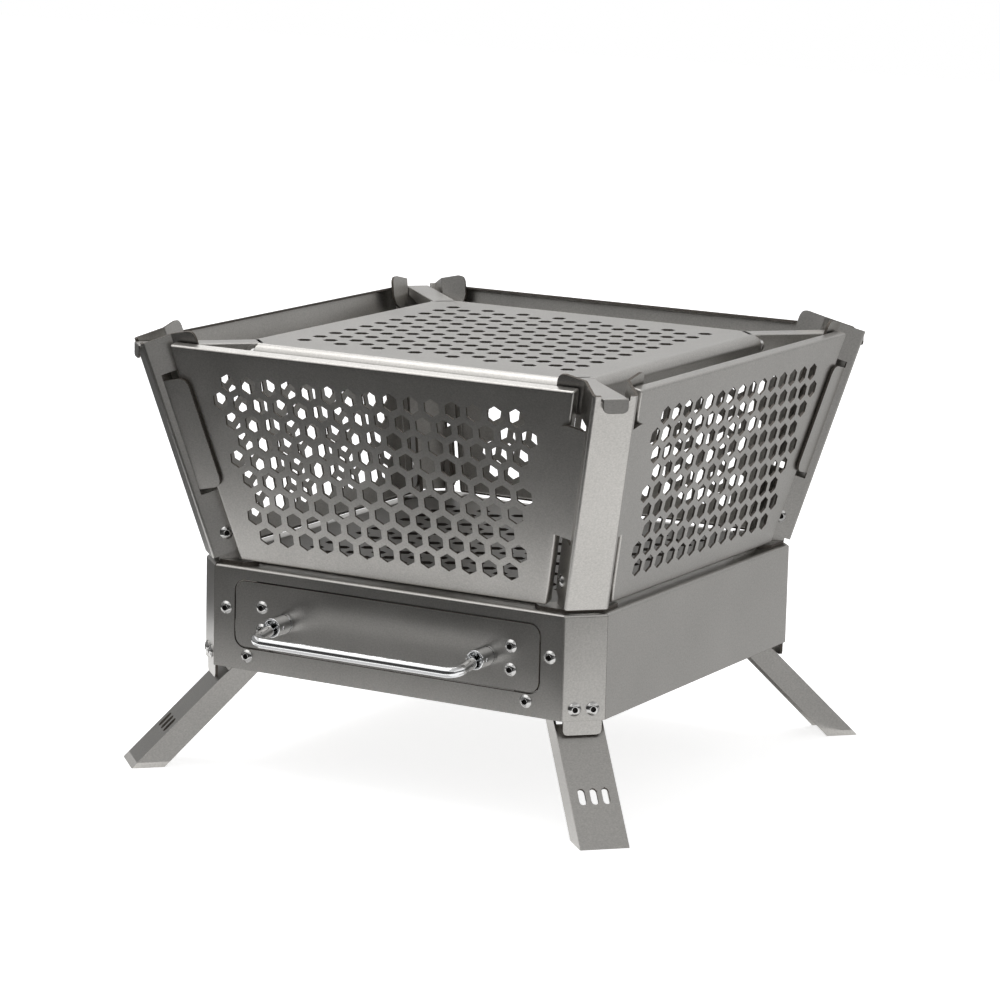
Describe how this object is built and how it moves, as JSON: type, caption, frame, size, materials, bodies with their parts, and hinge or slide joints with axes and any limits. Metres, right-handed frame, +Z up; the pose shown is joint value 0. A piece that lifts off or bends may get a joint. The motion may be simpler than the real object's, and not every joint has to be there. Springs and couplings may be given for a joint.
{
  "type": "portable fire pit",
  "caption": "Square folding steel fire pit: leaning hexagon-pierced side panels on a low base with an ash drawer, splayed folding legs and a lift-off pierced top plate.",
  "frame": {"origin": "on the ground, below the middle of the fire pit", "axes": "+Z up, the drawer faces -Y, +X to the right of someone facing the drawer"},
  "size_m": [0.4172, 0.4193, 0.3189],
  "materials": {
    "stainless": "satin",
    "chrome": "polished"
  },
  "bodies": {
    "base": {"base_wall_back": "stainless", "base_wall_front": "stainless", "base_wall_left": "stainless", "base_wall_right": "stainless", "drawer_runner_left": "stainless", "drawer_runner_right": "stainless", "leg_bracket_back_left": "stainless", "leg_bracket_back_right": "stainless", "leg_bracket_front_left": "stainless", "leg_bracket_front_right": "stainless", "post_back_left": "stainless", "post_back_right": "stainless", "post_bracket_back_left": "stainless", "post_bracket_back_right": "stainless", "post_bracket_front_left": "stainless", "post_bracket_front_right": "stainless", "post_front_left": "stainless", "post_front_right": "stainless"},
    "drawer": {"drawer_front": "stainless", "drawer_tray": "stainless", "handle_sockets": "chrome"},
    "drawer_handle": {"handle_bail": "chrome"},
    "top_plate": {"plate_arm_back_left": "stainless", "plate_arm_back_right": "stainless", "plate_arm_front_left": "stainless", "plate_arm_front_right": "stainless", "top_plate": "stainless"},
    "fire_grate": {"fire_grate": "stainless"},
    "leg_front_right": {"leg_front_right": "stainless"},
    "leg_back_right": {"leg_back_right": "stainless"},
    "leg_back_left": {"leg_back_left": "stainless"},
    "leg_front_left": {"leg_front_left": "stainless"},
    "panel_front": {"side_panel_front": "stainless"},
    "panel_right": {"side_panel_right": "stainless"},
    "panel_back": {"side_panel_back": "stainless"},
    "panel_left": {"side_panel_left": "stainless"}
  },
  "joints": [
    {"name": "leg_fold_front_right", "type": "hinge", "parent": "base", "child": "leg_front_right", "pos_m": [0.12923, -0.12923, 0.082], "axis": [0.7071, 0.7071, 0], "range_deg": [0, 135]},
    {"name": "leg_fold_back_right", "type": "hinge", "parent": "base", "child": "leg_back_right", "pos_m": [0.12923, 0.12923, 0.082], "axis": [-0.7071, 0.7071, 0], "range_deg": [0, 135]},
    {"name": "leg_fold_back_left", "type": "hinge", "parent": "base", "child": "leg_back_left", "pos_m": [-0.12923, 0.12923, 0.082], "axis": [-0.7071, -0.7071, 0], "range_deg": [0, 135]},
    {"name": "leg_fold_front_left", "type": "hinge", "parent": "base", "child": "leg_front_left", "pos_m": [-0.12923, -0.12923, 0.082], "axis": [0.7071, -0.7071, 0], "range_deg": [0, 135]},
    {"name": "drawer_slide", "type": "slide", "parent": "base", "child": "drawer", "axis": [0, -1, 0], "range_m": [0, 0.26]},
    {"name": "handle_swing", "type": "hinge", "parent": "drawer", "child": "drawer_handle", "pos_m": [0, -0.176, 0.1122], "axis": [-1, 0, 0], "range_deg": [0, 26]},
    {"name": "panel_lift_front", "type": "slide", "parent": "base", "child": "panel_front", "axis": [0, -0.2334, 0.9724], "range_m": [0, 0.18]},
    {"name": "panel_lift_right", "type": "slide", "parent": "base", "child": "panel_right", "axis": [0.2334, 0, 0.9724], "range_m": [0, 0.18]},
    {"name": "panel_lift_back", "type": "slide", "parent": "base", "child": "panel_back", "axis": [0, 0.2334, 0.9724], "range_m": [0, 0.18]},
    {"name": "panel_lift_left", "type": "slide", "parent": "base", "child": "panel_left", "axis": [-0.2334, 0, 0.9724], "range_m": [0, 0.18]},
    {"name": "top_plate_lift", "type": "slide", "parent": "base", "child": "top_plate", "axis": [0, 0, 1], "range_m": [0, 0.15]},
    {"name": "grate_lift", "type": "slide", "parent": "base", "child": "fire_grate", "axis": [0, 0, 1], "range_m": [0, 0.12]}
  ]
}
